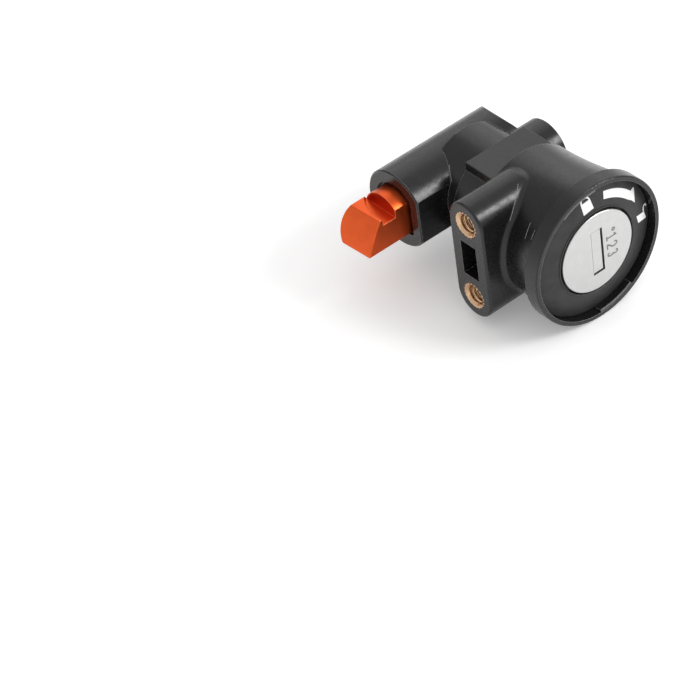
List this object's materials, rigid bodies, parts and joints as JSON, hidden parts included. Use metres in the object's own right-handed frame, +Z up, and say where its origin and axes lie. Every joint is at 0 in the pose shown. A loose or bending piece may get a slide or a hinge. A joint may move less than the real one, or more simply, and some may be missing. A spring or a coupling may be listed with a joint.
{
  "type": "battery lock",
  "caption": "Black moulded bicycle battery lock: keyed round face in a flared bezel, threaded lug at the side, sprung orange bolt in a cross tube.",
  "frame": {"origin": "centre of the bezel's front edge, on the key's axis", "axes": "+Y is the way the key goes in, +Z up with the closed padlock sign at the top, -X the way the bolt leaves"},
  "size_m": [0.0452, 0.0476, 0.032],
  "materials": {
    "housing_plastic": "satin moulded",
    "dial_plastic": "fine matt",
    "cap_steel": "satin",
    "flap_steel": "satin",
    "core_zinc": "black-coated die-cast zinc",
    "wafer_brass": "stamped",
    "spring_steel": "drawn wire",
    "plated_steel": "zinc plated",
    "seal_rubber": "matt",
    "bolt_orange": "orange anodised, satin",
    "insert_brass": "knurled and turned"
  },
  "bodies": {
    "lock_body": {"housing": "housing_plastic", "dial_ring": "dial_plastic", "lock_sleeve": "core_zinc", "seal_ring": "seal_rubber", "sleeve_pin": "plated_steel", "upper_insert": "insert_brass", "lower_insert": "insert_brass", "bolt_spring": "spring_steel"},
    "plug": {"lock_plug": "core_zinc", "face_disc": "cap_steel", "shutter_pin": "plated_steel", "shutter_spring": "spring_steel", "drive_cam": "core_zinc", "cam_washer": "plated_steel", "cam_screw": "plated_steel", "wafer_spring_1": "spring_steel", "wafer_spring_2": "spring_steel", "wafer_spring_3": "spring_steel", "wafer_spring_4": "spring_steel", "wafer_spring_5": "spring_steel", "wafer_spring_6": "spring_steel"},
    "shutter": {"key_shutter": "flap_steel"},
    "bolt": {"latch_bolt": "bolt_orange"},
    "wafer_1": {"wafer_1": "wafer_brass"},
    "wafer_2": {"wafer_2": "wafer_brass"},
    "wafer_3": {"wafer_3": "wafer_brass"},
    "wafer_4": {"wafer_4": "wafer_brass"},
    "wafer_5": {"wafer_5": "wafer_brass"},
    "wafer_6": {"wafer_6": "wafer_brass"}
  },
  "joints": [
    {"name": "plug_turn", "type": "hinge", "parent": "lock_body", "child": "plug", "pos_m": [0, 0.015, 0], "axis": [0, 1, 0], "range_deg": [0, 90]},
    {"name": "bolt_slide", "type": "slide", "parent": "lock_body", "child": "bolt", "axis": [1, 0, 0], "range_m": [0, 0.00655], "deforming": ["bolt_spring"]},
    {"name": "shutter_turn", "type": "hinge", "parent": "plug", "child": "shutter", "pos_m": [-0.00195, 0.00145, 0], "axis": [0, 0, 1], "range_deg": [0, 80], "stiffness_Nm_per_rad": 0.0005, "springref_deg": -17.19},
    {"name": "wafer_1_slide", "type": "slide", "parent": "plug", "child": "wafer_1", "axis": [0, 0, 1], "range_m": [0, 0.0009], "stiffness_N_per_m": 40, "springref_m": 0.0016, "deforming": ["wafer_spring_1"]},
    {"name": "wafer_2_slide", "type": "slide", "parent": "plug", "child": "wafer_2", "axis": [0, 0, -1], "range_m": [0, 0.0009], "stiffness_N_per_m": 40, "springref_m": 0.0016, "deforming": ["wafer_spring_2"]},
    {"name": "wafer_3_slide", "type": "slide", "parent": "plug", "child": "wafer_3", "axis": [0, 0, 1], "range_m": [0, 0.0009], "stiffness_N_per_m": 40, "springref_m": 0.0016, "deforming": ["wafer_spring_3"]},
    {"name": "wafer_4_slide", "type": "slide", "parent": "plug", "child": "wafer_4", "axis": [0, 0, -1], "range_m": [0, 0.0009], "stiffness_N_per_m": 40, "springref_m": 0.0016, "deforming": ["wafer_spring_4"]},
    {"name": "wafer_5_slide", "type": "slide", "parent": "plug", "child": "wafer_5", "axis": [0, 0, 1], "range_m": [0, 0.0009], "stiffness_N_per_m": 40, "springref_m": 0.0016, "deforming": ["wafer_spring_5"]},
    {"name": "wafer_6_slide", "type": "slide", "parent": "plug", "child": "wafer_6", "axis": [0, 0, -1], "range_m": [0, 0.0009], "stiffness_N_per_m": 40, "springref_m": 0.0016, "deforming": ["wafer_spring_6"]}
  ],
  "couplings": [
    {"joint": "bolt_slide", "follows": "plug_turn", "m_per_rad": 0.0041415}
  ]
}
